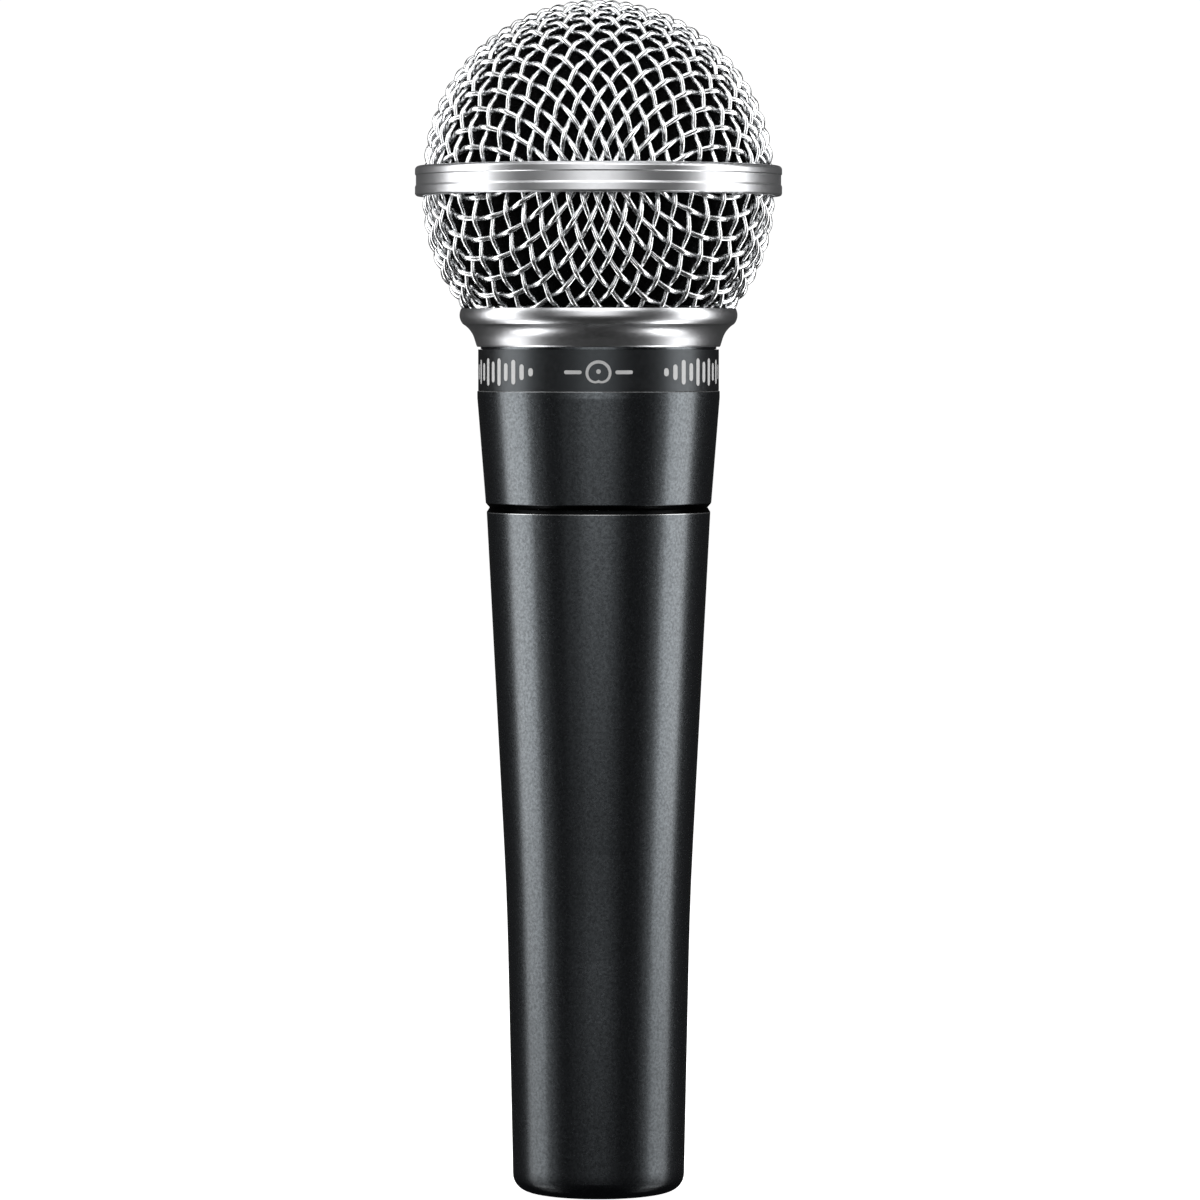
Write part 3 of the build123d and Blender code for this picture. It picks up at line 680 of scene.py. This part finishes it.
def build_band_marks():
    """A pickup diagram between two dashes, three times round, and a sound wave at both sides of the front."""
    band_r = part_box("identification_band")[1][0]
    meshes = []
    for turn in (0, 120, 240):
        front = math.radians(turn) * band_r
        origin = (front, MARKS_Z - 0.85 * MM)
        meshes.append(printed_strip_mesh(*pickup_edges(origin, 2.8 * MM, 0.42 * MM), band_r, closed=True))
        dot = (front, origin[1] + 0.95 * MM)
        meshes.append(printed_strip_mesh(*bar_edges(dot, 0.62 * MM, 0.6 * MM), band_r))
        for side in (-1, 1):
            place = (front + side * 3.45 * MM, MARKS_Z)
            meshes.append(printed_strip_mesh(*bar_edges(place, 2.4 * MM, 0.5 * MM, upright=False), band_r))
    for group in (-60, 60):
        for number, height in enumerate(BAR_HEIGHTS):
            place = (math.radians(group) * band_r + (number - 5) * BAR_SPACING, MARKS_Z)
            meshes.append(printed_strip_mesh(*bar_edges(place, height * MM, 0.75 * MM), band_r))
    points, faces, start = [], [], 0
    for p, f in meshes:
        points.append(p)
        faces += [tuple(i + start for i in face) for face in f]
        start += len(p)
    marks = mesh_piece("band_marks", np.concatenate(points), faces, print_ink(), smooth=False)
    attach(marks, "head")


build_band_marks()


# ================= CAD nodes =================
def finish_nodes():
    ring_nickel = satin_nickel("ring_nickel", (0.61, 0.615, 0.63), 0.33, 0.01 * MM)
    nickel = satin_nickel("satin_nickel", (0.57, 0.575, 0.59), 0.3, 0.01 * MM)
    steel = turned_metal("zinc_steel", (0.55, 0.55, 0.54), 0.35)
    aluminium = turned_metal("turned_aluminium", (0.74, 0.74, 0.75), 0.3)
    enamel = handle_enamel()
    black = moulded("black_moulding", (0.02, 0.02, 0.021), 0.45)
    finishes = {
        "grille_band": ring_nickel,
        "grille_collar": nickel,
        "upper_handle": enamel,
        "lower_handle": enamel,
        "identification_band": printed_strip(),
        "xlr_insert": black,
        "transformer_bobbin": black,
        "cartridge_frame": black,
        "rear_chamber": moulded("grey_moulding", (0.3, 0.3, 0.31), 0.5),
        "shock_mount": soft_rubber(),
        "lead_grommet": soft_rubber(),
        "shock_mount_ring": aluminium,
        "cartridge_base_plate": aluminium,
        "diaphragm_ring": aluminium,
        "cartridge_cap": aluminium,
        "yoke_cup": steel,
        "pole_piece": steel,
        "top_plate": steel,
        "magnet": turned_metal("magnet_grey", (0.2, 0.2, 0.21), 0.5),
        "connector_set_screw": turned_metal("black_steel", (0.12, 0.12, 0.12), 0.35),
        "ground_spring": turned_metal("tinned_brass", (0.7, 0.62, 0.42), 0.3),
        "cartridge_terminals": turned_metal("lug_brass", (0.72, 0.62, 0.4), 0.3),
        "transformer_core": core_laminations(),
        "transformer_winding": copper_winding(),
        "voice_coil": copper_winding(),
        "transformer_terminal_board": phenolic_board(),
        "terminal_board": phenolic_board(),
        "transformer_glue": hot_melt(),
        "diaphragm": thin_film(),
        "cap_screen": woven_cloth(),
        "rear_port_screen": woven_cloth(),
        "rear_felt": grey_felt(),
        "output_leads": wire_jacket("jacket_red", (0.45, 0.03, 0.025)),
        "pigtail_leads": wire_jacket("jacket_green", (0.03, 0.2, 0.07)),
        "xlr_pin_1": plated_contact(),
        "xlr_pin_2": plated_contact(),
        "xlr_pin_3": plated_contact(),
    }
    for name, material in finishes.items():
        NODES[name].data.materials.clear()
        NODES[name].data.materials.append(material)


finish_nodes()


# ================= camera, light and stage =================
def build_camera():
    data = bpy.data.cameras.new("camera")
    data.lens = 181.0
    camera = bpy.data.objects.new("camera", data)
    bpy.context.scene.collection.objects.link(camera)
    aside, distance, eye_height, target_height = 0.0002, 0.82, 0.1155, 0.0806
    camera.location = (aside, -distance, eye_height)
    pitch = math.atan2(eye_height - target_height, distance)
    camera.rotation_euler = (math.pi / 2 - pitch, 0, 0)
    bpy.context.scene.camera = camera


def soft_box(name, place, target, width, height, power):
    data = bpy.data.lights.new(name, "AREA")
    data.shape = "RECTANGLE"
    data.size, data.size_y = width, height
    data.energy = power
    light = bpy.data.objects.new(name, data)
    bpy.context.scene.collection.objects.link(light)
    light.location = place
    light.rotation_euler = (Vector(target) - Vector(place)).to_track_quat("-Z", "Y").to_euler()


def build_lights():
    """A bright box at each side, others below it, a dim wing before it, and lights in front and above."""
    for name, side, lean in (("left", -1, 0.012), ("right", 1, 0.022)):
        soft_box(f"{name}_box", (side * 0.3, -lean, 0.24), (0, 0, 0.24), 0.17, 0.48, 0.96)
        soft_box(f"{name}_low", (side * 0.3, -lean, -0.075), (0, 0, -0.075), 0.17, 0.15, 0.14)
        soft_box(f"{name}_under", (side * 0.3, -lean, -0.3), (0, 0, -0.3), 0.17, 0.3, 0.9)
        soft_box(f"{name}_wing", (side * 0.275, -0.1225, 0.2), (0, 0, 0.2), 0.1, 0.8, 0.08)
    soft_box("front_core", (-0.02, -0.9, 0.475), (0, 0, 0.475), 0.5, 0.99, 2.15)
    soft_box("front_wing", (-0.09, -0.92, 0.445), (0, 0, 0.445), 1.05, 1.05, 1.5)
    soft_box("high_front", (0, -0.48, 0.72), (0, 0, 0.13), 0.9, 0.45, 3.2)
    soft_box("top_box", (0, 0.05, 0.8), (0, 0, 0.1), 0.5, 0.5, 1.2)


def build_world():
    world = bpy.data.worlds.new("studio")
    bpy.context.scene.world = world
    world.use_nodes = True
    tree = world.node_tree
    sky = tree.nodes["Background"]
    sky.inputs["Color"].default_value = (1, 1, 1, 1)
    seen = tree.nodes.new("ShaderNodeLightPath")
    strength = tree.nodes.new("ShaderNodeMapRange")
    strength.inputs["To Min"].default_value = 0.015
    strength.inputs["To Max"].default_value = 1.05
    tree.links.new(seen.outputs["Is Camera Ray"], strength.inputs["Value"])
    tree.links.new(strength.outputs["Result"], sky.inputs["Strength"])


def build_floor():
    size = 8.0
    corners = [(-size, -size, 0), (size, -size, 0), (size, size, 0), (-size, size, 0)]
    paint = Paint("pale_floor", (0.8, 0.8, 0.8), 0.9)
    paint.set("Emission Color", (1, 1, 1, 1))
    paint.set("Emission Strength", 1.0)
    floor = mesh_piece("floor", corners, [(0, 1, 2, 3)], paint.material, smooth=False)
    floor.location = (0, 0, -0.0002)
    floor.visible_glossy = False
    floor.visible_diffuse = False
    floor.visible_shadow = False


build_camera()
build_lights()
build_world()
build_floor()
bpy.context.scene.view_settings.view_transform = "Standard"
